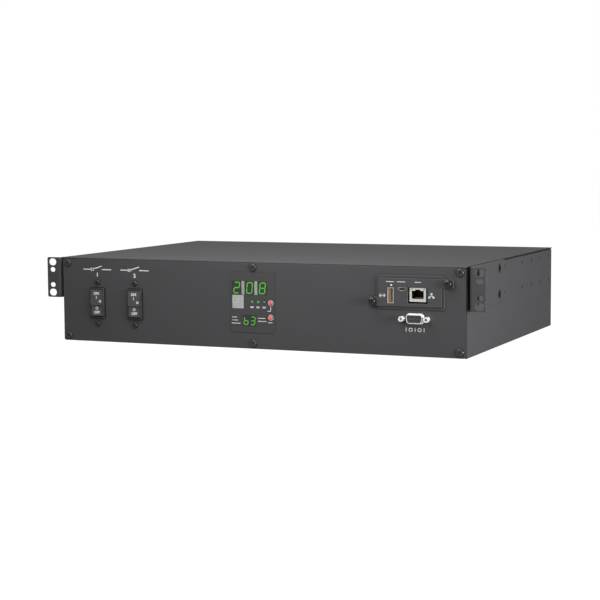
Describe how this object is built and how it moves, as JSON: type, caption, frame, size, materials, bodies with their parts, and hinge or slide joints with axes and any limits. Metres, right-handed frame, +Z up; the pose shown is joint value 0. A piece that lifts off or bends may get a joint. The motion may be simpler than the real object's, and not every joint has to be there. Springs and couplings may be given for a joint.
{
  "type": "rack power distribution unit",
  "caption": "Two-unit rack power distribution box with rocker breakers, a digit display, a network card, a serial port, rear outlets and rack ears.",
  "frame": {"origin": "centre of the body's footprint, on its bottom face", "axes": "+X to the right seen from the front, +Y to the rear, +Z up"},
  "size_m": [0.477, 0.3404, 0.087],
  "materials": {
    "black_steel": "fine satin powder coat, near black",
    "black_screw": "black oxide",
    "plated_steel": "zinc plated",
    "bright_plate": "bright nickel plate",
    "brass": "plain",
    "black_plastic": "moulded, fine texture",
    "rocker_plastic": "moulded, satin",
    "overlay_film": "printed film, satin",
    "display_plastic": "dark tinted",
    "digit_green": "lit green",
    "lamp_green": "clear tinted lens",
    "button_red": "moulded red",
    "jack_shield": "pale plated shield",
    "board_green": "solder mask",
    "relay_blue": "moulded relay case",
    "iron_core": "laminated core",
    "wire_jacket": "extruded insulation",
    "ribbon_grey": "flat cable insulation",
    "ring_blue": "moulded ring"
  },
  "bodies": {
    "enclosure": {"chassis_tray": "black_steel", "top_cover": "black_steel", "front_panel": "black_steel", "rear_panel": "black_steel", "ear_bracket_right": "black_steel", "ear_bracket_left": "black_steel", "ear_bracket_screws": "black_screw", "front_panel_screws": "black_screw", "rear_panel_screws": "black_screw", "clinch_nuts": "plated_steel", "breaker_1_case": "black_plastic", "breaker_2_case": "black_plastic", "breaker_screws": "black_screw", "wire_terminals": "brass", "display_overlay": "overlay_film", "voltage_display": "display_plastic", "bank_display": "display_plastic", "display_segments": "digit_green", "indicator_leds": "lamp_green", "button_switches": "black_plastic", "display_board": "board_green", "card_slot_frame": "black_steel", "card_faceplate": "black_steel", "card_thumbscrews": "black_screw", "card_board": "board_green", "ethernet_jack": "jack_shield", "ethernet_contacts": "brass", "usb_port": "bright_plate", "micro_usb_port": "bright_plate", "card_cage": "plated_steel", "card_rails": "black_plastic", "serial_port_shell": "bright_plate", "serial_port_insert": "black_plastic", "serial_jackscrews": "bright_plate", "outlets_bank_1_lower": "black_plastic", "outlets_bank_1_upper": "black_plastic", "outlets_bank_2_lower": "black_plastic", "outlets_bank_2_upper": "black_plastic", "high_current_outlets": "black_plastic", "outlet_contacts": "brass", "cord_gland_body": "black_plastic", "cord_gland_dome_nut": "black_plastic", "cord_gland_locknut": "black_plastic", "ground_stud": "brass", "relay_boards": "board_green", "outlet_relays": "relay_blue", "board_standoffs": "plated_steel", "board_screws": "plated_steel", "floor_boards": "board_green", "main_board_parts": "black_plastic", "supply_transformer": "iron_core", "supply_capacitors": "black_plastic", "current_rings": "ring_blue", "terminal_block": "black_plastic", "ribbon_cables": "ribbon_grey", "power_wires": "wire_jacket"},
    "rocker_1": {"breaker_1_rocker": "rocker_plastic"},
    "rocker_2": {"breaker_2_rocker": "rocker_plastic"},
    "button_upper": {"select_button_upper": "button_red"},
    "button_lower": {"select_button_lower": "button_red"}
  },
  "joints": [
    {"name": "breaker_1_rock", "type": "hinge", "parent": "enclosure", "child": "rocker_1", "pos_m": [-0.1782, -0.1545, 0.0403], "axis": [1, 0, 0], "range_deg": [0, 14]},
    {"name": "breaker_2_rock", "type": "hinge", "parent": "enclosure", "child": "rocker_2", "pos_m": [-0.1343, -0.1545, 0.0403], "axis": [1, 0, 0], "range_deg": [0, 14]},
    {"name": "select_upper_press", "type": "slide", "parent": "enclosure", "child": "button_upper", "axis": [0, 1, 0], "range_m": [0, 0.0005], "stiffness_N_per_m": 800, "springref_m": -0.0005},
    {"name": "select_lower_press", "type": "slide", "parent": "enclosure", "child": "button_lower", "axis": [0, 1, 0], "range_m": [0, 0.0005], "stiffness_N_per_m": 800, "springref_m": -0.0005}
  ]
}
